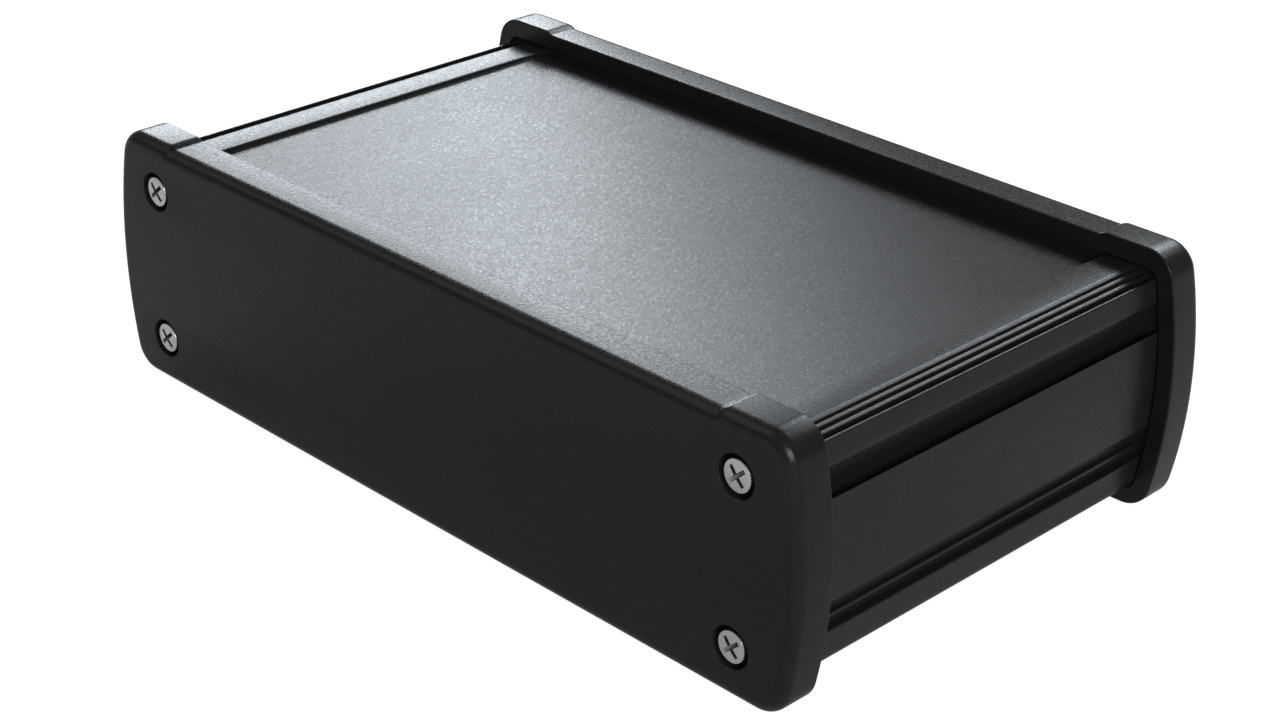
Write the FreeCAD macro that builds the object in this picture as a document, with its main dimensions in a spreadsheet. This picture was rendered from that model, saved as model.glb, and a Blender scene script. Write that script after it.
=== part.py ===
import FreeCAD, Part
import math
import os

import Sketcher

from FreeCAD import Placement, Rotation, Vector

doc = FreeCAD.newDocument("ExtrudedEnclosure")

# Driving dimensions in millimetres. X runs along the caps, Y along the extrusion, Z up.
# The caps stand on Z = 0 and the enclosure is centred on X = 0 and Y = 0.
DRIVING = {
    # End caps
    "overall_depth": 100.0,
    "cap_width": 168.4,
    "cap_foot": 3.3,
    "cap_crest": 3.4,
    "cap_thickness": 7.75,
    "cap_corner_radius": 5.5,
    "cap_edge_radius": 2.2,
    "side_bow_radius": 90.0,
    "ear_height": 0.6,
    "ear_length": 17.3,
    "ear_ramp": 1.1,
    "pocket_depth": 2.0,
    "pocket_clearance": 0.5,
    "pocket_corner_radius": 2.5,
    "cap_hollow_wall": 3.0,
    # Gaskets between the body's ends and the caps
    "gasket_thickness": 0.8,
    "gasket_clearance": 0.15,
    "gasket_lip": 0.5,
    # Outline that both body shells share
    "body_inset": 3.6,
    "body_height": 40.4,
    "body_corner_radius": 4.3,
    # Upper shell: margins run in from the body's widest point, drops run down from its top,
    # and the shoulder's bevel, grooves and ribs run out from its margin
    "top_wall": 2.0,
    "label_margin": 12.6,
    "label_depth": 0.8,
    "shoulder_margin": 6.7,
    "shoulder_drop": 1.28,
    "shoulder_bevel": 0.63,
    "shoulder_groove": 0.47,
    "shoulder_rib": 0.58,
    "shoulder_gap": 0.6,
    "shoulder_groove_depth": 1.0,
    "band_lip_drop": 1.12,
    "band_lip": 0.4,
    "band_drop": 5.7,
    "band_edge_radius": 1.5,
    # Joint between the shells, which is also the side channel
    "lip_drop": 10.2,
    "joint_drop": 13.7,
    "joint_depth": 3.0,
    "joint_web": 2.0,
    "tongue_thickness": 1.8,
    "lip_thickness": 1.15,
    "lip_bevel": 1.7,
    "joint_clearance": 0.2,
    "joint_rib": 1.6,
    "joint_rib_height": 2.0,
    # Lower shell: rises run up from the body's bottom
    "bottom_wall": 2.0,
    "side_wall": 2.0,
    "panel_rise": 12.2,
    "panel_edge_radius": 1.5,
    "rail_rise": 6.5,
    "rail_edge_radius": 0.6,
    "rail_depth": 1.8,
    "rail_rib_rise": 8.0,
    "rail_rib_height": 0.8,
    "rail_rib_depth": 0.9,
    "card_slot": 1.8,
    "card_rib": 1.2,
    "card_rib_reach": 2.5,
    "card_rise": 12.2,
    "card_drop": 3.3,
    # Screws and their ports
    "screw_margin": 9.1,
    "screw_inset": 5.65,
    "thread_size": 3.0,
    "thread_clearance": 0.05,
    "thread_length": 12.0,
    "thread_point": 0.5,
    "hole_clearance": 0.4,
    "port_wall": 2.5,
    "port_web": 2.0,
    "head_diameter": 5.5,
    "head_rim": 2.1,
    "head_height": 2.3,
    "head_clearance": 0.85,
    "head_sink": 0.1,
    "recess_width": 4.1,
    "recess_slot": 0.72,
    "recess_depth": 1.5,
}

# Sizes that follow from the driving ones
DERIVED = {
    "cap_half": "cap_width / 2",
    "cap_top": "cap_foot + body_height + cap_crest",
    "body_half": "cap_half - body_inset",
    "body_top": "cap_foot + body_height",
    "body_middle": "cap_foot + body_height / 2",
    "body_length": "overall_depth - 2 * (cap_thickness - pocket_depth + gasket_thickness)",
    "floor": "cap_foot + bottom_wall",
    "ceiling": "body_top - label_depth - top_wall",
    "joint_floor": "body_top - joint_drop",
    "lip_top": "body_top - lip_drop",
    "screw_across": "body_half - screw_margin",
    "screw_low": "cap_foot + screw_inset",
    "screw_high": "body_top - screw_inset",
    "port_diameter": "thread_size + 2 * port_wall",
    "cap_hole": "thread_size + hole_clearance",
    "counterbore": "head_diameter + 2 * head_clearance",
    "counterbore_depth": "head_height + head_sink",
    "hollow_depth": "cap_thickness - cap_hollow_wall",
    "shoulder_width": "shoulder_bevel + shoulder_groove + shoulder_gap + 2 * shoulder_rib",
}

sheet = doc.addObject("Spreadsheet::Sheet", "Sizes")
cells = {alias: str(number) for alias, number in DRIVING.items()}
cells.update({alias: "=" + formula for alias, formula in DERIVED.items()})
for row, (alias, content) in enumerate(cells.items(), start=1):
    sheet.set("A%d" % row, alias)
    sheet.set("B%d" % row, content)
    sheet.setAlias("B%d" % row, alias)
doc.recompute()


def size(alias):
    return float(sheet.get(alias))


SCREW_ROWS = ["screw_low", "screw_high"]


class Bow:
    """The bowed side of an outline: an arc about a centre on the body's middle height."""

    def __init__(self, half_width, radius):
        self.radius = radius
        self.centre = half_width - radius
        self.middle = size("body_middle")

    def x(self, z):
        return self.centre + math.sqrt(self.radius ** 2 - (z - self.middle) ** 2)

    def at(self, z):
        return (self.x(z), z)

    def corner(self, z, radius, side):
        """Where a corner arc centred at height z leaves the bow, its middle and its end, above (1) or below (-1)."""
        reach = self.radius - radius
        across = math.sqrt(reach ** 2 - (z - self.middle) ** 2)
        centre = Vector(self.centre + across, z, 0)
        lean = math.atan2(z - self.middle, across)
        turn = (lean + side * math.pi / 2) / 2
        return [(centre.x + radius * math.cos(a), z + radius * math.sin(a)) for a in (lean, turn, side * math.pi / 2)]


class Half:
    """The right half of a symmetrical outline, drawn from its first corner to its last."""

    def __init__(self, start):
        self.start = start
        self.last = start
        self.steps = []

    def line(self, *points):
        for point in points:
            self.steps.append(("line", self.last, None, point))
            self.last = point
        return self

    def arc(self, middle, end):
        self.steps.append(("arc", self.last, middle, end))
        self.last = end
        return self

    def follow(self, bow, z):
        """Runs along the bowed side to height z."""
        return self.arc(bow.at((self.last[1] + z) / 2), bow.at(z))

    def edges(self):
        """The closed outline: this half, its mirror image and the two lines that join them."""
        made = []
        for flip in (1, -1):
            for kind, start, middle, end in self.steps:
                a, b = (Vector(flip * p[0], p[1], 0) for p in (start, end))
                if kind == "line":
                    made.append(Part.LineSegment(a, b))
                else:
                    made.append(Part.Arc(a, Vector(flip * middle[0], middle[1], 0), b))
        for point in (self.start, self.last):
            made.append(Part.LineSegment(Vector(-point[0], point[1], 0), Vector(point[0], point[1], 0)))
        return made


def body(label):
    made = doc.addObject("PartDesign::Body", label)
    made.Label = label
    doc.recompute()
    return made


def sketch(owner, name, role="XZ_Plane", offset=None):
    """A sketch on one of the body's own origin planes, moved along its normal by an expression."""
    made = owner.newObject("Sketcher::SketchObject", name)
    plane = [feature for feature in owner.Origin.OriginFeatures if feature.Role == role][0]
    made.AttachmentSupport = [(plane, "")]
    made.MapMode = "FlatFace"
    if offset:
        made.setExpression("AttachmentOffset.Base.z", offset)
    return made


def drawn(owner, name, edges, role="XZ_Plane", offset=None):
    made = sketch(owner, name, role, offset)
    for edge in edges:
        made.addGeometry(edge, False)
    doc.recompute()
    return made


def pad(owner, profile, length, both_ways=False):
    """Extrudes a sketch by an expression, to -Y or to both sides of its plane."""
    made = owner.newObject("PartDesign::Pad", profile.Name + "Pad")
    made.Profile = profile
    made.Midplane = both_ways
    made.setExpression("Length", length)
    doc.recompute()
    return made


def pocket(owner, profile, length=None, reverse=False, both_ways=False):
    """Cuts a sketch by an expression, or right through, and checks that it removes material."""
    before = owner.Shape.Volume
    made = owner.newObject("PartDesign::Pocket", profile.Name + "Cut")
    made.Profile = profile
    made.Reversed = reverse
    made.Midplane = both_ways
    if length:
        made.setExpression("Length", length)
    else:
        made.Type = 1
    doc.recompute()
    if not made.Shape.Volume < before:
        raise RuntimeError("%s cuts nothing" % made.Name)
    return made


def rings(owner, name, rows, diameter, offset=None):
    """Circles of one diameter on the screw axes of the named rows, left and right."""
    made = sketch(owner, name, offset=offset)
    for row in rows:
        for side in (-1, 1):
            centre = Vector(side * size("screw_across"), size(row), 0)
            ring = made.addGeometry(Part.Circle(centre, Vector(0, 0, 1), size(diameter) / 2), False)
            ends = [-1, 1, ring, 3] if side > 0 else [ring, 3, -1, 1]
            rules = [
                (Sketcher.Constraint("Diameter", ring, size(diameter)), diameter),
                (Sketcher.Constraint("DistanceX", *ends, size("screw_across")), "screw_across"),
                (Sketcher.Constraint("DistanceY", -1, 1, ring, 3, size(row)), row),
            ]
            for rule, alias in rules:
                made.setExpression("Constraints[%d]" % made.addConstraint(rule), "Sizes." + alias)
    doc.recompute()
    return made


# End caps: cast plates with bowed sides, a rounded outer edge and raised ears at the top corners.
# A shallow pocket in the inner face takes the body's end, with a gap all round it.

def cap_outline():
    bow = Bow(size("cap_half"), size("side_bow_radius"))
    radius = size("cap_corner_radius")
    ear_top = size("cap_top") + size("ear_height")
    ear_inner = size("cap_half") - size("ear_length")
    upper = bow.corner(ear_top - radius, radius, 1)
    lower = bow.corner(radius, radius, -1)
    half = Half((ear_inner, size("cap_top")))
    half.line((ear_inner + size("ear_ramp"), ear_top), upper[2])
    half.arc(upper[1], upper[0])
    return half.follow(bow, lower[0][1]).arc(lower[1], lower[2])


def pocket_outline(shrink=0.0):
    grow = size("pocket_clearance") - shrink
    bow = Bow(size("body_half") + grow, size("side_bow_radius") + grow)
    low = size("cap_foot") - grow
    high = size("body_top") + grow
    radius = size("pocket_corner_radius") - shrink
    upper = bow.corner(high - radius, radius, 1)
    lower = bow.corner(low + radius, radius, -1)
    half = Half(upper[2]).arc(upper[1], upper[0])
    return half.follow(bow, lower[0][1]).arc(lower[1], lower[2])


def box_edges(x_low, x_high, z_low, z_high):
    corners = [(x_low, z_low), (x_high, z_low), (x_high, z_high), (x_low, z_high)]
    return [Part.LineSegment(Vector(*a, 0), Vector(*b, 0)) for a, b in zip(corners, corners[1:] + corners[:1])]


def window_edges():
    """The opening that the gasket's frame leaves, which is also the hollow in the cap behind it."""
    lip = size("gasket_lip")
    reach = size("screw_across") - size("port_diameter") / 2 - lip
    return box_edges(-reach, reach, size("floor") + lip, size("ceiling") - lip)


def outer_rim(shape):
    """The edges round the outer face of a cap."""
    face_at = -size("cap_thickness")
    return ["Edge%d" % number for number, edge in enumerate(shape.Edges, start=1)
            if all(abs(vertex.Point.y - face_at) < 1e-6 for vertex in edge.Vertexes)]


def end_cap(label):
    cap = body(label)
    plate = pad(cap, drawn(cap, label + "_plate", cap_outline().edges()), "Sizes.cap_thickness")
    rim = cap.newObject("PartDesign::Fillet", label + "_rim")
    rim.Base = (plate, outer_rim(plate.Shape))
    rim.setExpression("Radius", "Sizes.cap_edge_radius")
    doc.recompute()
    pocket(cap, drawn(cap, label + "_pocket", pocket_outline().edges()), "Sizes.pocket_depth", reverse=True)
    hollow = drawn(cap, label + "_hollow", window_edges())
    pocket(cap, hollow, "Sizes.hollow_depth", reverse=True)
    pocket(cap, rings(cap, label + "_holes", SCREW_ROWS, "cap_hole"), reverse=True)
    seats = rings(cap, label + "_seats", SCREW_ROWS, "counterbore", offset="Sizes.cap_thickness")
    pocket(cap, seats, "Sizes.counterbore_depth")
    return cap


# Upper shell: an extruded cover with a label recess, ribbed shoulders, a side band and a tongue each side.

def body_bow():
    return Bow(size("body_half"), size("side_bow_radius"))


def upper_outline(bow):
    top = size("body_top")
    wide = size("body_half")
    label_floor = top - size("label_depth")
    label_edge = wide - size("label_margin")
    shoulder = wide - size("shoulder_margin")

    def fallen(x):
        """The shoulder's slope, which the bevel and the ribs' tops follow."""
        return x, top - (x - shoulder) * size("shoulder_drop") / size("shoulder_width")

    lip_top = top - size("band_lip_drop")
    lip_in = bow.x(lip_top) - size("band_lip")
    half = Half((label_edge, label_floor))
    half.line((label_edge, top), (shoulder, top))
    edge = fallen(shoulder + size("shoulder_bevel"))
    for width in ("shoulder_groove", "shoulder_gap"):
        groove_floor = edge[1] - size("shoulder_groove_depth")
        rib = fallen(edge[0] + size(width))
        half.line(edge, (edge[0], groove_floor), (rib[0], groove_floor), rib)
        edge = fallen(rib[0] + size("shoulder_rib"))
    trough = edge[1] - size("shoulder_groove_depth")
    half.line(edge, (edge[0], trough), (lip_in, trough), (lip_in, lip_top), bow.at(lip_top))
    band = bow.corner(top - size("band_drop") + size("band_edge_radius"), size("band_edge_radius"), -1)
    half.follow(bow, band[0][1]).arc(band[1], band[2])
    tongue_out = bow.x(size("lip_top")) - size("joint_depth")
    tongue_in = tongue_out - size("tongue_thickness")
    half.line((tongue_out, band[2][1]), (tongue_out, size("joint_floor")), (tongue_in, size("joint_floor")))
    return half.line((tongue_in, size("ceiling")))


def screw_ports(shell, label, row, wall_x, wall_z):
    """The round ports for the cap screws, webbed to the shell's side and to its top or bottom wall."""
    pad(shell, rings(shell, label + "_ports", [row], "port_diameter"), "Sizes.body_length", both_ways=True)
    half_web = size("port_web") / 2
    height = size(row)
    for side, word in ((-1, "left"), (1, "right")):
        across = side * size("screw_across")
        flat = box_edges(*sorted((across, side * wall_x)), height - half_web, height + half_web)
        upright = box_edges(across - half_web, across + half_web, *sorted((height, wall_z)))
        for edges, way in ((flat, "flat"), (upright, "upright")):
            name = "%s_web_%s_%s" % (label, word, way)
            pad(shell, drawn(shell, name, edges), "Sizes.body_length", both_ways=True)
    pocket(shell, rings(shell, label + "_threads", [row], "thread_size"), both_ways=True)


def upper_shell():
    outline = upper_outline(body_bow())
    shell = body("upper_shell")
    pad(shell, drawn(shell, "upper_section", outline.edges()), "Sizes.body_length", both_ways=True)
    screw_ports(shell, "upper", "screw_high", *outline.last)
    return shell


# Lower shell: an extruded tray. Its side panels end in thin lips that stand in front of the tongues.
# A ribbed rail channel runs along the foot of each side, and card guides stand on the inner walls.

def lower_outline(bow):
    low = size("cap_foot")
    foot = bow.corner(low + size("body_corner_radius"), size("body_corner_radius"), -1)
    panel_low = low + size("panel_rise")
    panel = bow.corner(panel_low + size("panel_edge_radius"), size("panel_edge_radius"), -1)
    rail_low = low + size("rail_rise")
    rail_edge = bow.corner(rail_low - size("rail_edge_radius"), size("rail_edge_radius"), 1)
    rail_back = bow.x(rail_low) - size("rail_depth")
    rib_face = rail_back + size("rail_rib_depth")
    rib_low = low + size("rail_rib_rise")
    rib_high = rib_low + size("rail_rib_height")
    half = Half(foot[2]).arc(foot[1], foot[0])
    half.follow(bow, rail_edge[0][1]).arc(rail_edge[1], rail_edge[2])
    half.line((rail_back, rail_low), (rail_back, rib_low), (rib_face, rib_low), (rib_face, rib_high))
    half.line((rail_back, rib_high), (rail_back, panel_low), panel[2]).arc(panel[1], panel[0])
    lip = size("lip_top")
    half.follow(bow, lip)
    lip_in = bow.x(lip) - size("lip_thickness")
    joint_floor = size("joint_floor")
    tongue_in = bow.x(lip) - size("joint_depth") - size("tongue_thickness")
    rib_out = tongue_in - size("joint_clearance")
    rib_in = rib_out - size("joint_rib")
    rib_top = joint_floor + size("joint_rib_height")
    half.line((lip_in, lip - size("lip_bevel")), (lip_in, joint_floor), (rib_out, joint_floor), (rib_out, rib_top))
    web_low = joint_floor - size("joint_web")
    wall = rail_back - size("side_wall")
    half.line((rib_in, rib_top), (rib_in, web_low), (wall, web_low))
    reach = wall - size("card_rib_reach")
    slot_half = size("card_slot") / 2
    rib_far = slot_half + size("card_rib")
    for slot in (web_low - size("card_drop"), low + size("card_rise")):
        for start, end in ((slot + rib_far, slot + slot_half), (slot - slot_half, slot - rib_far)):
            half.line((wall, start), (reach, start), (reach, end), (wall, end))
    return half.line((wall, size("floor")))


def lower_shell():
    outline = lower_outline(body_bow())
    shell = body("lower_shell")
    pad(shell, drawn(shell, "lower_section", outline.edges()), "Sizes.body_length", both_ways=True)
    screw_ports(shell, "lower", "screw_low", *outline.last)
    return shell


# Gaskets: flat rubber frames on the pocket floors, between the caps and the body's ends.

def gasket(label):
    frame = body(label)
    pad(frame, drawn(frame, label + "_frame", pocket_outline(size("gasket_clearance")).edges()), "Sizes.gasket_thickness")
    pocket(frame, drawn(frame, label + "_window", window_edges()), reverse=True)
    pocket(frame, rings(frame, label + "_holes", SCREW_ROWS, "cap_hole"), reverse=True)
    return frame


# Screws: pan heads with a cross recess. The head seats at Y = 0 and the thread runs to +Y.

def cap_screw(label, turn):
    screw = body(label)
    head = size("head_diameter") / 2
    rim = size("head_rim")
    top = size("head_height")
    shank = size("thread_size") / 2 - size("thread_clearance")
    length = size("thread_length")
    point = size("thread_point")
    dome = (head ** 2 + (top - rim) ** 2) / (2 * (top - rim))
    crown = Vector(head / 2, dome - top - math.sqrt(dome ** 2 - (head / 2) ** 2), 0)
    corners = [(0, -top), (head, -rim), (head, 0), (shank, 0), (shank, length - point), (shank - point, length), (0, length)]
    edges = [Part.Arc(Vector(0, -top, 0), crown, Vector(head, -rim, 0))]
    edges += [Part.LineSegment(Vector(*a, 0), Vector(*b, 0)) for a, b in zip(corners[1:], corners[2:])]
    edges.append(Part.LineSegment(Vector(0, length, 0), Vector(0, -top, 0)))
    profile = drawn(screw, label + "_profile", edges, role="XY_Plane")
    turned = screw.newObject("PartDesign::Revolution", label + "_turned")
    turned.Profile = profile
    turned.ReferenceAxis = (profile, ["V_Axis"])
    turned.Angle = 360
    doc.recompute()
    long, short = size("recess_width") / 2, size("recess_slot") / 2
    corners = [(long, short), (short, short), (short, long)]
    arm = [(x, z) for x, z in corners] + [(-x, z) for x, z in reversed(corners)]
    cross = arm + [(-x, -z) for x, z in arm]
    points = [Vector(x * math.cos(turn) - z * math.sin(turn), x * math.sin(turn) + z * math.cos(turn), 0) for x, z in cross]
    edges = [Part.LineSegment(a, b) for a, b in zip(points, points[1:] + points[:1])]
    recess = drawn(screw, label + "_recess", edges, offset="Sizes.head_height")
    pocket(screw, recess, "Sizes.recess_depth")
    return screw


SIDES = {"front": (-1, Rotation()), "rear": (1, Rotation(Vector(0, 0, 1), 180))}
CROSS_TURNS = {"top_left": 43, "top_right": 41, "bottom_left": 43, "bottom_right": 41}

upper = upper_shell()
lower = lower_shell()
parts = [upper, lower]
for end, (sign, facing) in SIDES.items():
    cap = end_cap(end + "_cap")
    outer_face = size("overall_depth") / 2
    cap.Placement = Placement(Vector(0, sign * (outer_face - size("cap_thickness")), 0), facing)
    seal = gasket(end + "_gasket")
    seal.Placement = Placement(Vector(0, sign * size("body_length") / 2, 0), facing)
    parts += [cap, seal]
    head_seat = outer_face - size("counterbore_depth")
    for place, degrees in CROSS_TURNS.items():
        screw = cap_screw("%s_screw_%s" % (end, place), math.radians(degrees))
        x = size("screw_across") if "right" in place else -size("screw_across")
        z = size("screw_high") if "top" in place else size("screw_low")
        screw.Placement = Placement(Vector(x, sign * head_seat, z), facing)
        parts.append(screw)
doc.recompute()

for item in doc.Objects:
    if "Invalid" in item.State or "Error" in item.State:
        raise RuntimeError("%s failed: %s" % (item.Name, item.State))
for part in parts:
    if part.Shape.isNull() or not part.Shape.isValid() or len(part.Shape.Solids) != 1:
        raise RuntimeError("%s has a bad shape with %d solids" % (part.Label, len(part.Shape.Solids)))

os.makedirs("parts", exist_ok=True)
for part in parts:
    part.Shape.exportStep("parts/%s.step" % part.Label)
    box = part.Shape.BoundBox
    print("%-26s %9.1f mm3  X %.2f %.2f  Y %.2f %.2f  Z %.2f %.2f" % (
        part.Label, part.Shape.Volume, box.XMin, box.XMax, box.YMin, box.YMax, box.ZMin, box.ZMax))
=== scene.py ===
import bmesh
import bpy
import math
from mathutils import Matrix, Vector
from mathutils.geometry import tessellate_polygon


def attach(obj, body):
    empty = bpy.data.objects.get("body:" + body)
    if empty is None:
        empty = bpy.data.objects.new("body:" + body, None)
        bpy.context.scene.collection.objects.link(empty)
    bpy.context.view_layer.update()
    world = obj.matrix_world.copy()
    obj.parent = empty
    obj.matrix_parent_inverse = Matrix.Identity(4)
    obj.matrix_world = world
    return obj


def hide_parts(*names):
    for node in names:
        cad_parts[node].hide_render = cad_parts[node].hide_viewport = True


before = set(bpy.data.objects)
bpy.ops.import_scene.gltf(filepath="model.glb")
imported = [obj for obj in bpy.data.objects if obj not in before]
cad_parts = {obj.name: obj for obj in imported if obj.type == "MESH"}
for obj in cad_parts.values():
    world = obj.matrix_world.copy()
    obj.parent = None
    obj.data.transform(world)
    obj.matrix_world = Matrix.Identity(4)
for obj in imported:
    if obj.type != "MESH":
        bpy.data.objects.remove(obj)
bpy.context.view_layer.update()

# Upper shell: an aluminium extrusion with a black sand-textured powder coat, sawn to length.
# A shallow recess for a label runs along its top, fine ribs step down each shoulder, and a tongue
# hangs inside each side. The die breaks all its corners lightly. Sections are in millimetres.

MM = 0.001
BODY_LENGTH = 86.9
BODY_HALF = 80.6
BODY_LOW, BODY_TOP = 3.3, 43.7
BOW_MIDDLE = 23.5
BOW_RADIUS = 90.0


def bow_x(z, half_width=BODY_HALF):
    """Where the bowed side stands at height z."""
    return half_width - BOW_RADIUS + math.sqrt(BOW_RADIUS ** 2 - (z - BOW_MIDDLE) ** 2)


def bow_run(start, end, half_width=BODY_HALF, steps=10):
    """Points up or down the bowed side."""
    heights = [start + (end - start) * i / steps for i in range(steps + 1)]
    return [(bow_x(z, half_width), z, 0) for z in heights]


def broken(corners, segments=4):
    """A closed outline of (x, z, radius) corners, each rounded as far as its two sides leave room."""
    made = []
    for i, (x, z, radius) in enumerate(corners):
        here = Vector((x, z))
        back = Vector(corners[i - 1][:2]) - here
        ahead = Vector(corners[(i + 1) % len(corners)][:2]) - here
        turn = math.pi - back.angle(ahead) if back.length and ahead.length else 0
        if not radius or turn < 0.02:
            made.append(here)
            continue
        room = 0.45 * min(back.length, ahead.length)
        cut = min(radius * math.tan(turn / 2), room)
        start, end = here + back.normalized() * cut, here + ahead.normalized() * cut
        for k in range(segments + 1):
            f = k / segments
            made.append(start * (1 - f) ** 2 + here * 2 * f * (1 - f) + end * f * f)
    return made


def mirrored(half):
    """A whole outline from the corners of its right half."""
    return half + [(-x, z, radius) for x, z, radius in reversed(half)]


def ring(x, z, diameter, count=48):
    """A circle in the section's plane."""
    turns = (2 * math.pi * i / count for i in range(count))
    return [Vector((x + math.cos(a) * diameter / 2, z + math.sin(a) * diameter / 2)) for a in turns]


def smoothed(name, points, faces, angle=38):
    """A closed mesh in metres from points in millimetres, smooth except at its sharp edges."""
    mesh = bpy.data.meshes.new(name)
    mesh.from_pydata([Vector(p) * MM for p in points], [], faces)
    shell = bmesh.new()
    shell.from_mesh(mesh)
    bmesh.ops.recalc_face_normals(shell, faces=shell.faces)
    shell.to_mesh(mesh)
    shell.free()
    for face in mesh.polygons:
        face.use_smooth = True
    mesh.set_sharp_from_angle(angle=math.radians(angle))
    piece = bpy.data.objects.new(name, mesh)
    bpy.context.collection.objects.link(piece)
    return piece


def extruded(name, islands, low, high):
    """A piece whose section is made of islands, each an outline and the holes in it."""
    points, faces = [], []
    for loops in islands:
        base = len(points)
        flat = [p for loop in loops for p in loop]
        points += [(p.x, low, p.y) for p in flat] + [(p.x, high, p.y) for p in flat]
        count = len(flat)
        start = base
        for number, loop in enumerate(loops):
            size = len(loop)
            area = sum(a.x * b.y - a.y * b.x for a, b in zip(loop, loop[1:] + loop[:1]))
            for i in range(size):
                a, b = start + i, start + (i + 1) % size
                wall = (a, b, b + count, a + count)
                faces.append(wall if (area < 0) == (number == 0) else wall[::-1])
            start += size
        for tri in tessellate_polygon([[Vector((p.x, p.y, 0)) for p in loop] for loop in loops]):
            a, b, c = (flat[k] for k in tri)
            near = tri[::-1] if (b - a).cross(c - a) < 0 else tri
            faces.append(tuple(base + k for k in near))
            faces.append(tuple(base + count + k for k in near[::-1]))
    return smoothed(name, points, faces)


LIP_HEIGHT = 33.5
JOINT_FLOOR = 30.0
TONGUE_SETBACK, TONGUE_THICKNESS = 3.0, 1.8
TONGUE_OUT = bow_x(LIP_HEIGHT) - TONGUE_SETBACK
TONGUE_IN = TONGUE_OUT - TONGUE_THICKNESS
LABEL_EDGE = 68.0
LABEL_FLOOR = 42.9
CEILING = 40.9
SHOULDER = 73.9
SHOULDER_SLOPE = 1.28 / 2.86
GROOVES = ((74.53, 75.0, 42.42, 0.08), (75.58, 76.18, 41.95, 0.1))
LAST_RIB, LAST_FLOOR = 76.76, 41.42
BAND_TOP = 42.58
BAND_LIP = bow_x(BAND_TOP) - 0.4
BAND_CURVE = (42.2, 39.5)
BAND_TURN, BAND_FOOT = 38.9, 38.0


def fallen(x, radius):
    """A corner on the shoulder's slope."""
    return (x, BODY_TOP - (x - SHOULDER) * SHOULDER_SLOPE, radius)


upper_half = [(LABEL_EDGE, LABEL_FLOOR, 0.12), (LABEL_EDGE, BODY_TOP, 0.7), (SHOULDER, BODY_TOP, 0.5)]
for near, far, floor_z, edge in GROOVES:
    upper_half += [fallen(near, edge), (near, floor_z, 0), (far, floor_z, 0), fallen(far, 0.06)]
upper_half += [
    fallen(LAST_RIB, 0.1), (LAST_RIB, LAST_FLOOR, 0), (BAND_LIP, LAST_FLOOR, 0),
    (BAND_LIP, BAND_TOP, 0.08), (bow_x(BAND_TOP), BAND_TOP, 0.25),
]
upper_half += bow_run(*BAND_CURVE)
upper_half += [
    (bow_x(BAND_TURN), BAND_FOOT, 1.3), (TONGUE_OUT, BAND_FOOT, 0.2),
    (TONGUE_OUT, JOINT_FLOOR, 0.2), (TONGUE_IN, JOINT_FLOOR, 0.2), (TONGUE_IN, CEILING, 0.4),
]

SCREW_X = 71.5
SCREW_LOW, SCREW_HIGH = 8.95, 38.05
PORT_OUTSIDE, PORT_HOLE = 8.0, 3.0
WEB_START, WEB_HALF, WEB_BITE = 3.2, 1.0, 0.5


def port(side, z, wall_x, wall_z):
    """A round screw port with its threaded hole, and the two webs that tie it to the walls."""
    x = side * SCREW_X
    toward = math.copysign(1, wall_z - z)
    near_x, far_x = x + side * WEB_START, side * (wall_x + WEB_BITE)
    near_z, far_z = z + toward * WEB_START, wall_z + toward * WEB_BITE
    low, high = z - WEB_HALF, z + WEB_HALF
    left, right = x - WEB_HALF, x + WEB_HALF
    flat = [(near_x, low, 0), (far_x, low, 0), (far_x, high, 0), (near_x, high, 0)]
    upright = [(left, near_z, 0), (right, near_z, 0), (right, far_z, 0), (left, far_z, 0)]
    return [[ring(x, z, PORT_OUTSIDE), ring(x, z, PORT_HOLE)], [broken(flat)], [broken(upright)]]


sections = [[broken(mirrored(upper_half))]]
for side in (-1, 1):
    sections += port(side, SCREW_HIGH, TONGUE_IN, CEILING)
upper_shell = extruded("cover_extrusion", sections, -BODY_LENGTH / 2, BODY_LENGTH / 2)


class Wire:
    """A shader socket that can stand in an expression, which adds the Math nodes it needs."""

    def __init__(self, finish, socket):
        self.finish = finish
        self.socket = socket

    def reckon(self, operation, first, second):
        """Adds one Math node between two wires or numbers."""
        return self.finish.node("ShaderNodeMath", {"operation": operation}, {0: first, 1: second})

    def __add__(self, other):
        return self.reckon("ADD", self, other)

    def __radd__(self, other):
        return self.reckon("ADD", other, self)

    def __mul__(self, other):
        return self.reckon("MULTIPLY", self, other)

    def __rmul__(self, other):
        return self.reckon("MULTIPLY", other, self)


class Finish:
    """A material, or the world's surround, under its own name, built node by node."""

    def __init__(self, name, kept_in=bpy.data.materials):
        self.owner = kept_in.new(name)
        self.owner.use_nodes = True
        self.tree = self.owner.node_tree
        self.tree.nodes.clear()

    def node(self, kind, settings=None, sockets=None, out=0):
        """Adds a node: its settings first, then the values or wires of its sockets."""
        made = self.tree.nodes.new(kind)
        for key, value in (settings or {}).items():
            setattr(made, key, value)
        for key, value in (sockets or {}).items():
            if isinstance(value, Wire):
                self.tree.links.new(value.socket, made.inputs[key])
            else:
                made.inputs[key].default_value = value
        return Wire(self, made.outputs[out]) if made.outputs else None

    def surface(self, **sockets):
        """Closes the material with one shader, and gives it back."""
        named = {name.replace("_", " "): value for name, value in sockets.items()}
        shader = self.node("ShaderNodeBsdfPrincipled", {}, named)
        self.node("ShaderNodeOutputMaterial", {}, {"Surface": shader})
        return self.owner


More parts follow.
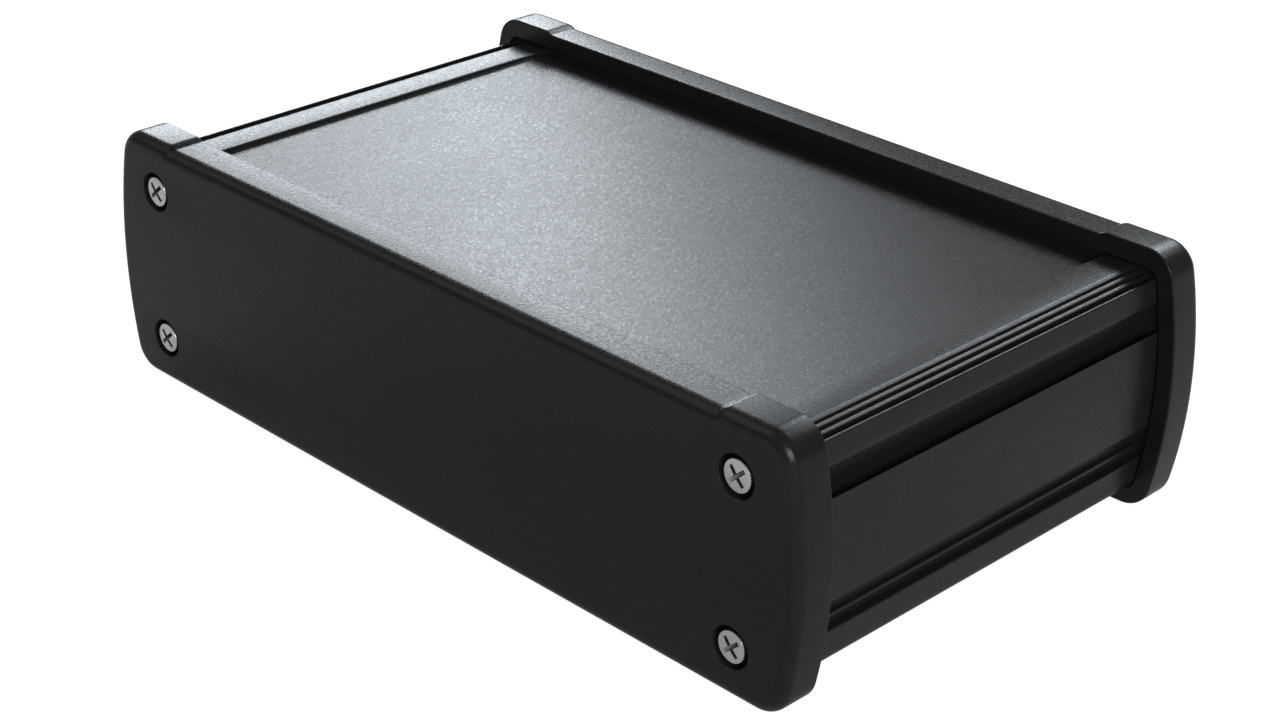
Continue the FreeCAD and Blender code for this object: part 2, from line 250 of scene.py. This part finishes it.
def sand_coat():
    """Black powder coat with a fine sand grain: each grain tilts a little and some catch the light."""
    coat = Finish("black_sand_coat")
    place = coat.node("ShaderNodeTexCoord", out="Object")
    grain = coat.node("ShaderNodeTexNoise", {}, {
        "Vector": place, "Scale": 2600.0, "Detail": 3.0, "Roughness": 0.6})
    cloud = coat.node("ShaderNodeTexNoise", {}, {"Vector": place, "Scale": 60.0, "Detail": 2.0})
    tone = coat.node("ShaderNodeMix", {"data_type": "RGBA"}, {
        0: grain, 6: (0.013, 0.013, 0.0135, 1), 7: (0.021, 0.021, 0.0215, 1)}, out=2)
    bump = coat.node("ShaderNodeBump", {}, {"Height": grain, "Strength": 0.5, "Distance": 0.00006})
    return coat.surface(
        Base_Color=tone, Roughness=0.06 + 0.45 * grain + 0.05 * cloud,
        Specular_IOR_Level=0.27, Normal=bump)


shell_coat = sand_coat()
upper_shell.data.materials.append(shell_coat)
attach(upper_shell, "root")
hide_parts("upper_shell")

# Lower shell: the tray of the same extrusion set. Its bowed side panels end in thin bevelled lips that
# stand in front of the cover's tongues, and a channel with one rib runs along the foot of each side.
# Inside, ribs hold a circuit board by its edges, and the joint's web carries the tongue.

FOOT_X = bow_x(BODY_LOW + 2.0) - 0.1
FOOT_RADIUS = 4.3
FOOT_CURVE = (7.6, 9.2)
RAIL_LOW, RAIL_HIGH = 9.8, 15.5
RAIL_BACK = bow_x(RAIL_LOW) - 1.8
RAIL_RIB = RAIL_BACK + 0.9
RIB_LOW, RIB_HIGH = 11.3, 12.1
INNER_WALL = RAIL_BACK - 2.0
PANEL_TURN, PANEL_START = 16.4, 17.2
LIP_X = bow_x(LIP_HEIGHT)
LIP_THICKNESS, LIP_BEVEL = 1.15, 1.7
LIP_IN = LIP_X - LIP_THICKNESS
JOINT_RIB_OUT = TONGUE_IN - 0.2
JOINT_RIB_IN = JOINT_RIB_OUT - 1.6
JOINT_RIB_TOP = 32.0
WEB_LOW = JOINT_FLOOR - 2.0
FLOOR_TOP = 5.3
CARD_SLOTS = (24.7, 15.5)
SLOT_HALF, SLOT_RIB, SLOT_DEPTH = 0.9, 1.2, 2.5

lower_half = [(FOOT_X, BODY_LOW, FOOT_RADIUS)]
lower_half += bow_run(*FOOT_CURVE, steps=4) + [(bow_x(RAIL_LOW), RAIL_LOW, 0.6)]
lower_half += [
    (RAIL_BACK, RAIL_LOW, 0.15), (RAIL_BACK, RIB_LOW, 0.1), (RAIL_RIB, RIB_LOW, 0.15),
    (RAIL_RIB, RIB_HIGH, 0.15), (RAIL_BACK, RIB_HIGH, 0.1), (RAIL_BACK, RAIL_HIGH, 0.3),
    (bow_x(PANEL_TURN), RAIL_HIGH, 1.5),
]
lower_half += bow_run(PANEL_START, LIP_HEIGHT - 0.25, steps=20) + [(LIP_X, LIP_HEIGHT, 0.06)]
lower_half += [
    (LIP_IN, LIP_HEIGHT - LIP_BEVEL, 0.3), (LIP_IN, JOINT_FLOOR, 0.2),
    (JOINT_RIB_OUT, JOINT_FLOOR, 0.2), (JOINT_RIB_OUT, JOINT_RIB_TOP, 0.3),
    (JOINT_RIB_IN, JOINT_RIB_TOP, 0.3), (JOINT_RIB_IN, WEB_LOW, 0.3), (INNER_WALL, WEB_LOW, 0.3),
]
for slot_middle in CARD_SLOTS:
    for start, end in ((SLOT_HALF + SLOT_RIB, SLOT_HALF), (-SLOT_HALF, -SLOT_HALF - SLOT_RIB)):
        for x, z in ((0, start), (-SLOT_DEPTH, start), (-SLOT_DEPTH, end), (0, end)):
            lower_half.append((INNER_WALL + x, slot_middle + z, 0.2))
lower_half.append((INNER_WALL, FLOOR_TOP, 0.4))

sections = [[broken(mirrored(lower_half), segments=6)]]
for side in (-1, 1):
    sections += port(side, SCREW_LOW, INNER_WALL, FLOOR_TOP)
lower_shell = extruded("tray_extrusion", sections, -BODY_LENGTH / 2, BODY_LENGTH / 2)
lower_shell.data.materials.append(shell_coat)
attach(lower_shell, "root")
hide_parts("lower_shell")

# End caps: thick die-cast plates with a black powder coat, rounded all along the outer edge. The top
# corners stand up as low ears behind a short ramp, and four deep seats sink the screw heads.
# A pocket in the inner face takes the gasket and the extrusions' ends with a narrow gap all round.

CAP_HALF = 84.2
CAP_TOP = 47.1
EAR_TOP = 47.7
CAP_CORNER = 5.5
RAMP_FOOT, RAMP_TOP = 66.9, 68.0
CAP_OUT, CAP_IN = 50.0, 42.25
CAP_WALL = 3.0
WINDOW_HALF, WINDOW_LOW, WINDOW_HIGH = 67.0, 5.8, 40.4
POCKET_FLOOR = 44.25
POCKET_GAP, POCKET_CORNER = 0.5, 2.5
EDGE_RADIUS, EDGE_STEPS = 2.2, 10
INNER_ROUNDING = ((0.25, 0), (0.125, 0.034), (0.034, 0.125), (0, 0.25), (0, 0.3))
SEAT_DIAMETER, SEAT_DEPTH, SEAT_BREAK = 7.2, 2.4, 0.12
CLEARANCE_HOLE = 3.4


def rounded_side(half_width, low, high, radius, steps=28):
    """The corners and the bowed side of an outline, from its top right to its bottom right."""
    upper = bow_corner(half_width, high - radius, radius, 1)
    lower = bow_corner(half_width, low + radius, radius, -1)
    middle = bow_run(upper[0][1], lower[0][1], half_width, steps)[1:-1]
    return upper[::-1] + middle + lower


def bow_corner(half_width, z, radius, side, steps=12):
    """A corner arc from where it leaves the bow to where it turns level."""
    reach = BOW_RADIUS - radius
    across = math.sqrt(reach ** 2 - (z - BOW_MIDDLE) ** 2)
    lean = math.atan2(z - BOW_MIDDLE, across)
    centre = half_width - BOW_RADIUS + across
    angles = (lean + (side * math.pi / 2 - lean) * i / steps for i in range(steps + 1))
    return [(centre + radius * math.cos(a), z + radius * math.sin(a), 0) for a in angles]


def inset(loop, amount):
    """The outline drawn in by an amount, square to itself."""
    made = []
    for i, here in enumerate(loop):
        back = (here - loop[i - 1]).normalized()
        ahead = (loop[(i + 1) % len(loop)] - here).normalized()
        lean = (back + ahead).normalized()
        across = Vector((lean.y, -lean.x))
        made.append(here + across * amount / max(0.5, lean.dot(ahead)))
    return made


class Stack:
    """A mesh of rings that share their number of points, walled one to the next, and flat faces."""

    def __init__(self):
        self.points = []
        self.faces = []

    def ring(self, loop, y):
        """Lays a loop down at y, and gives the numbers of its points."""
        start = len(self.points)
        self.points += [(p.x, y, p.y) for p in loop]
        return range(start, start + len(loop))

    def wall(self, *rings):
        """Walls each ring to the next."""
        for first, second in zip(rings, rings[1:]):
            for i in range(len(first)):
                j = (i + 1) % len(first)
                self.faces.append((first[i], first[j], second[j], second[i]))

    def face(self, *rings):
        """Fills the first ring flat, with the others as holes in it."""
        flat = [k for row in rings for k in row]
        loops = [[Vector((self.points[k][0], self.points[k][2], 0)) for k in row] for row in rings]
        self.faces += [tuple(flat[k] for k in tri) for tri in tessellate_polygon(loops)]


cap_half = [(RAMP_FOOT, CAP_TOP, 0.4), (RAMP_TOP, EAR_TOP, 2.0)]
cap_half += rounded_side(CAP_HALF, 0.0, EAR_TOP, CAP_CORNER)
cap_outline = broken(mirrored(cap_half))
pocket_outline = broken(mirrored(rounded_side(
    BODY_HALF + POCKET_GAP, BODY_LOW - POCKET_GAP, BODY_TOP + POCKET_GAP, POCKET_CORNER)))
window = [Vector(p) for p in (
    (-WINDOW_HALF, WINDOW_LOW), (WINDOW_HALF, WINDOW_LOW),
    (WINDOW_HALF, WINDOW_HIGH), (-WINDOW_HALF, WINDOW_HIGH))]
SCREW_PLACES = [(x, z) for x in (-SCREW_X, SCREW_X) for z in (SCREW_LOW, SCREW_HIGH)]


def end_cap(name, node, facing):
    """One cap, built facing -Y and turned to its end."""
    cap = Stack()
    inner = cap.ring(inset(cap_outline, 0.3), -CAP_IN)
    rim = [cap.ring(inset(cap_outline, across), -CAP_IN - along) for across, along in INNER_ROUNDING]
    for k in range(EDGE_STEPS + 1):
        turn = math.radians(90 * k / EDGE_STEPS)
        level = -(CAP_OUT - EDGE_RADIUS) - EDGE_RADIUS * math.sin(turn)
        rim.append(cap.ring(inset(cap_outline, EDGE_RADIUS * (1 - math.cos(turn))), level))
    cap.wall(inner, *rim)
    mouth = cap.ring(pocket_outline, -CAP_IN)
    step = cap.ring(pocket_outline, -POCKET_FLOOR)
    cap.wall(step, mouth)
    cap.face(inner, mouth)
    hollow = cap.ring(window, -POCKET_FLOOR)
    back = cap.ring(window, -CAP_OUT + CAP_WALL)
    cap.wall(back, hollow)
    cap.face(back)
    holes, seats = [], []
    seat_floor = -CAP_OUT + SEAT_DEPTH
    for x, z in SCREW_PLACES:
        brim = cap.ring(ring(x, z, SEAT_DIAMETER + 2 * SEAT_BREAK), -CAP_OUT)
        bore = [cap.ring(ring(x, z, SEAT_DIAMETER), y) for y in (-CAP_OUT + SEAT_BREAK, seat_floor)]
        hole = [cap.ring(ring(x, z, CLEARANCE_HOLE), y) for y in (seat_floor, -POCKET_FLOOR)]
        cap.wall(brim, *bore)
        cap.face(bore[1], hole[0])
        cap.wall(*hole)
        seats.append(brim)
        holes.append(hole[1])
    cap.face(step, hollow, *holes)
    cap.face(rim[-1], *seats)
    piece = smoothed(name, cap.points, cap.faces)
    piece.data.transform(Matrix.Rotation(facing, 4, "Z"))
    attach(piece, "root")
    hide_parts(node)
    return piece


def cast_coat():
    """Black powder coat with the grain of the extrusions' coat, a little darker and smoother."""
    coat = Finish("black_matte_coat")
    place = coat.node("ShaderNodeTexCoord", out="Object")
    grain = coat.node("ShaderNodeTexNoise", {}, {"Vector": place, "Scale": 2600.0, "Detail": 2.0})
    tone = coat.node("ShaderNodeMix", {"data_type": "RGBA"}, {
        0: grain, 6: (0.011, 0.011, 0.011, 1), 7: (0.017, 0.017, 0.017, 1)}, out=2)
    bump = coat.node("ShaderNodeBump", {}, {"Height": grain, "Strength": 0.4, "Distance": 0.00005})
    return coat.surface(
        Base_Color=tone, Roughness=0.08 + 0.42 * grain, Specular_IOR_Level=0.25, Normal=bump)


cap_coat = cast_coat()
for end, facing in (("front", 0), ("rear", math.pi)):
    piece = end_cap(end + "_cap_casting", end + "_cap", facing)
    piece.data.materials.append(cap_coat)

# Gaskets: die-cut frames of soft black rubber, pressed between the caps and the sawn ends.
# Only their edges could be seen, deep in the gap round the extrusion.

rubber = Finish("gasket_rubber")
place = rubber.node("ShaderNodeTexCoord", out="Object")
pores = rubber.node("ShaderNodeTexNoise", {}, {"Vector": place, "Scale": 3000.0, "Detail": 2.0})
bump = rubber.node("ShaderNodeBump", {}, {"Height": pores, "Strength": 0.3, "Distance": 0.00003})
gasket_rubber = rubber.surface(
    Base_Color=(0.012, 0.012, 0.013, 1), Roughness=0.7 + 0.15 * pores,
    Specular_IOR_Level=0.3, Normal=bump)
for end in ("front", "rear"):
    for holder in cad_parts[end + "_gasket"].material_slots:
        holder.material = gasket_rubber

# Cap screws: M3 pan heads with a cross recess, bright nickel plate on steel, sunk in the caps' seats.
# The domed head sits on the seat and the thread runs through the cap and gasket into the body's ports.

HEAD_RADIUS = 2.75
HEAD_RIM, HEAD_TOP = 2.1, 2.3
DOME_EDGE, DOME_STEPS = 0.25, 11
HEAD_SEAT = CAP_OUT - SEAT_DEPTH
SHANK_RADIUS = 1.45
THREAD_START, SHANK_END = 0.6, 12.0
THREAD_DEPTH, THREAD_PITCH, THREAD_CREST = 0.22, 0.5, 0.06
CROSS_STEPS = ((2.80, 0.45, -3.1), (2.05, 0.36, -2.3), (0.62, 0.27, -0.9), (0.45, 0.25, -0.8))
CROSS_TURN = {"left": 43, "right": 41}


def lathe(name, profile, count=64):
    """A turned solid from (radius, y) points that start and end on the axis."""
    points, faces, rows = [], [], []
    for radius, y in profile:
        if radius == 0:
            rows.append([len(points)] * count)
            points.append((0, y, 0))
        else:
            rows.append(list(range(len(points), len(points) + count)))
            turns = (2 * math.pi * i / count for i in range(count))
            points += [(radius * math.cos(a), y, radius * math.sin(a)) for a in turns]
    for first, second in zip(rows, rows[1:]):
        for i in range(count):
            j = (i + 1) % count
            corners = (first[i], first[j], second[j], second[i])
            faces.append(tuple(dict.fromkeys(corners)))
    return smoothed(name, points, faces)


def cross_cutter(name):
    """The tapering cross that the recess is pressed with, from twelve points at each step."""
    points, faces = [], []
    for wide, slot, y in CROSS_STEPS:
        for quarter in range(4):
            for x, z in ((wide, -slot), (wide, slot), (slot, slot)):
                turned = Matrix.Rotation(quarter * math.pi / 2, 2) @ Vector((x, z))
                points.append((turned.x, y, turned.y))
    rows = [list(range(12 * k, 12 * k + 12)) for k in range(len(CROSS_STEPS))]
    for first, second in zip(rows, rows[1:]):
        for i in range(12):
            j = (i + 1) % 12
            faces.append((first[i], first[j], second[j], second[i]))
    faces.append(tuple(rows[0][::-1]))
    faces.append(tuple(rows[-1]))
    return smoothed(name, points, faces, angle=20)


def nickel_plate(name, tone, rough):
    """Nickel plate with a faint haze: bright on the head, and a darker, duller copy in the recess,
    whose darker tone is painted shade.
    """
    plate = Finish(name)
    place = plate.node("ShaderNodeTexCoord", out="Object")
    haze = plate.node("ShaderNodeTexNoise", {}, {"Vector": place, "Scale": 1500.0, "Detail": 3.0})
    bump = plate.node("ShaderNodeBump", {}, {"Height": haze, "Strength": 0.15, "Distance": 0.00003})
    return plate.surface(Base_Color=tone, Metallic=1.0, Roughness=rough + 0.12 * haze, Normal=bump)


def screw_mesh():
    """The screw along Y, its seat at Y = 0: a domed, recessed head, and fine rings for a thread."""
    rise = HEAD_TOP - HEAD_RIM
    ball = (HEAD_RADIUS ** 2 + rise ** 2) / (2 * rise)
    profile = [(0, -HEAD_TOP)]
    for k in range(1, DOME_STEPS + 1):
        radius = (HEAD_RADIUS - DOME_EDGE) * k / DOME_STEPS
        profile.append((radius, ball - HEAD_TOP - math.sqrt(ball ** 2 - radius ** 2)))
    profile += [
        (HEAD_RADIUS - 0.08, -HEAD_RIM + 0.02), (HEAD_RADIUS, -HEAD_RIM + 0.18), (HEAD_RADIUS, -0.1),
        (HEAD_RADIUS - 0.1, 0), (SHANK_RADIUS, 0),
    ]
    root = SHANK_RADIUS - THREAD_DEPTH
    y = THREAD_START
    while y < SHANK_END - 0.8:
        crest = y + THREAD_DEPTH
        profile += [(root, y), (SHANK_RADIUS, crest), (SHANK_RADIUS, crest + THREAD_CREST)]
        y += THREAD_PITCH
    profile += [(root, y), (SHANK_RADIUS - 0.5, SHANK_END), (0, SHANK_END)]
    screw = lathe("screw_blank", profile)
    cutter = cross_cutter("recess_punch")
    # The punch's faces take the second slot, so the cut faces of the recess get the darker plate:
    # painted shade in the cross recess.
    for face in cutter.data.polygons:
        face.material_index = 1
    screw.data.materials.append(nickel_plate("nickel_plate", (0.75, 0.742, 0.72, 1), 0.22))
    # A darker copy of the nickel for the recess, which paints the recess's shade into its colour.
    screw.data.materials.append(nickel_plate("recess_painted_shade", (0.2, 0.198, 0.192, 1), 0.34))
    cut = screw.modifiers.new("recess", "BOOLEAN")
    cut.object = cutter
    cut.operation = "DIFFERENCE"
    cut.solver = "EXACT"
    made = bpy.data.meshes.new_from_object(screw.evaluated_get(bpy.context.evaluated_depsgraph_get()))
    made.name = "pan_head_screw"
    for piece in (screw, cutter):
        bpy.data.objects.remove(piece)
    made.set_sharp_from_angle(angle=math.radians(35))
    return made


blank = screw_mesh()
for end, sign, facing in (("front", -1, 0), ("rear", 1, math.pi)):
    for row, z in (("top", SCREW_HIGH), ("bottom", SCREW_LOW)):
        for hand, x in (("left", -SCREW_X), ("right", SCREW_X)):
            mesh = blank.copy()
            turn = Matrix.Rotation(-math.radians(CROSS_TURN[hand]), 4, "Y")
            seat = Matrix.Translation(Vector((x, sign * HEAD_SEAT, z)) * MM)
            mesh.transform(seat @ Matrix.Rotation(facing, 4, "Z") @ turn)
            screw = bpy.data.objects.new("%s_%s_%s_pan_head" % (end, row, hand), mesh)
            bpy.context.collection.objects.link(screw)
            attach(screw, "root")
            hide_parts("%s_screw_%s_%s" % (end, row, hand))

# Studio: a white floor that keeps a faint shadow and can be seen through from below, a white surround,
# and small softboxes behind the left side and the right back corner, which the top faces mirror.
# A weak one on the left and one in front lift the front, the right side and the rounded corner.

FLOOR_REACH, FLOOR_DROP = 6.0, 0.0003

floor_mesh = bpy.data.meshes.new("studio_floor")
floor_mesh.from_pydata([
    (x * FLOOR_REACH, y * FLOOR_REACH, -FLOOR_DROP) for x, y in ((-1, -1), (1, -1), (1, 1), (-1, 1))
], [], [(0, 1, 2, 3)])
floor = bpy.data.objects.new("studio_floor", floor_mesh)
bpy.context.collection.objects.link(floor)


def brightness(finish, camera, reflected, scattered=0.0):
    """How bright a background is to the camera, to reflected rays and to scattered ones."""
    direct = finish.node("ShaderNodeLightPath", out="Is Camera Ray")
    glossy = finish.node("ShaderNodeLightPath", out="Is Glossy Ray")
    through = finish.node("ShaderNodeLightPath", out="Is Transmission Ray")
    return scattered + camera * direct + reflected * (glossy + through)


paper = Finish("white_paper")
matte = paper.node("ShaderNodeBsdfDiffuse", {}, {"Color": (0.45, 0.45, 0.45, 1)})
glow = paper.node("ShaderNodeEmission", {}, {
    "Color": (1, 1, 1, 1), "Strength": brightness(paper, camera=0.9, reflected=0.2)})
both = paper.node("ShaderNodeAddShader", {}, {0: matte, 1: glow})
clear = paper.node("ShaderNodeBsdfTransparent")
below = paper.node("ShaderNodeNewGeometry", out="Backfacing")
sheet = paper.node("ShaderNodeMixShader", {}, {0: below, 1: both, 2: clear})
paper.node("ShaderNodeOutputMaterial", {}, {"Surface": sheet})
floor_mesh.materials.append(paper.owner)

surround = Finish("studio_surround", kept_in=bpy.data.worlds)
ambient = surround.node("ShaderNodeBackground", {}, {
    "Color": (1, 1, 1, 1),
    "Strength": brightness(surround, camera=1.0, reflected=0.17, scattered=0.03)})
surround.node("ShaderNodeOutputWorld", {}, {"Surface": ambient})
bpy.context.scene.world = surround.owner


LAMP_DISTANCE = 0.8


def soft_lamp(name, turn, rise, size, watts, colour=(1, 1, 1)):
    """A softbox turned to the object, at a bearing and a height in degrees."""
    light = bpy.data.lights.new(name, "AREA")
    light.shape = "RECTANGLE"
    light.size, light.size_y = size
    light.energy = watts
    light.color = colour
    lamp = bpy.data.objects.new(name, light)
    turn, rise = math.radians(turn), math.radians(rise)
    out = Vector((math.cos(rise) * math.cos(turn), math.cos(rise) * math.sin(turn), math.sin(rise)))
    lamp.location = LAMP_DISTANCE * out
    lamp.rotation_euler = out.to_track_quat("Z", "Y").to_euler()
    bpy.context.collection.objects.link(lamp)


COOL = (0.87, 0.94, 1.0)
soft_lamp("back_softbox", 148, 22, (0.3, 0.19), 1.95, COOL)
soft_lamp("back_edge_softbox", 135, 30, (0.15, 0.18), 0.42, COOL)
soft_lamp("right_back_softbox", 103, 41, (0.3, 0.22), 2.3, COOL)
soft_lamp("right_softbox", 79, 45, (0.3, 0.22), 0.75, COOL)
soft_lamp("left_fill", -135, 45, (0.5, 0.5), 0.55)
soft_lamp("front_softbox", -30, 25, (0.4, 0.3), 3.0)

# Camera: the photograph's own view, from the front right and above, with a long lens.
# Its place, turn and focal length come from the photographed edges and screws.

eye = Vector((0.28558, -0.28450, 0.21525))
forward = Vector((-0.63148, 0.63326, -0.44745)).normalized()
up = Vector((-0.32718, 0.30555, 0.89420))
right = forward.cross(up).normalized()
up = right.cross(forward)
lens = bpy.data.cameras.new("photo_view")
lens.sensor_width = 36.0
lens.lens = 71.18
camera = bpy.data.objects.new("photo_view", lens)
camera.matrix_world = Matrix.Translation(eye) @ Matrix((right, up, -forward)).transposed().to_4x4()
bpy.context.collection.objects.link(camera)
bpy.context.scene.camera = camera
bpy.context.scene.view_settings.view_transform = "Standard"
